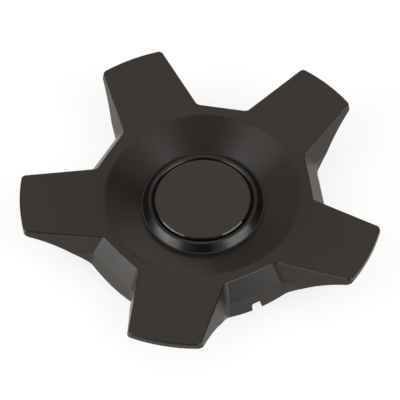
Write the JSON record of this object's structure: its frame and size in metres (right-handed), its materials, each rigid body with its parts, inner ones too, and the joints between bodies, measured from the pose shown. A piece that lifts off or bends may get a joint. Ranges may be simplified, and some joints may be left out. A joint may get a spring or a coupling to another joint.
{
  "type": "wheel centre cap",
  "caption": "Star-shaped wheel centre cap with a dished hub, badge bezel, drafted skirt and a ring of snap fingers with a spring ring underneath; covers the wheel bolts.",
  "frame": {"origin": "on the cap's axis, in the plane where the seat ring meets the wheel", "axes": "+Z along the wheel's axis, away from the wheel; +Y along one arm, opposite the wall with the removal notch"},
  "size_m": [0.16, 0.1536, 0.0329],
  "materials": {
    "satin_plastic": "satin moulded",
    "gloss_plastic": "gloss",
    "badge_face": "semi-gloss",
    "spring_steel": "drawn wire"
  },
  "bodies": {
    "root": {"star_cover": "satin_plastic", "badge_bezel": "gloss_plastic", "badge_disc": "badge_face", "spring_ring": "spring_steel"}
  },
  "joints": []
}
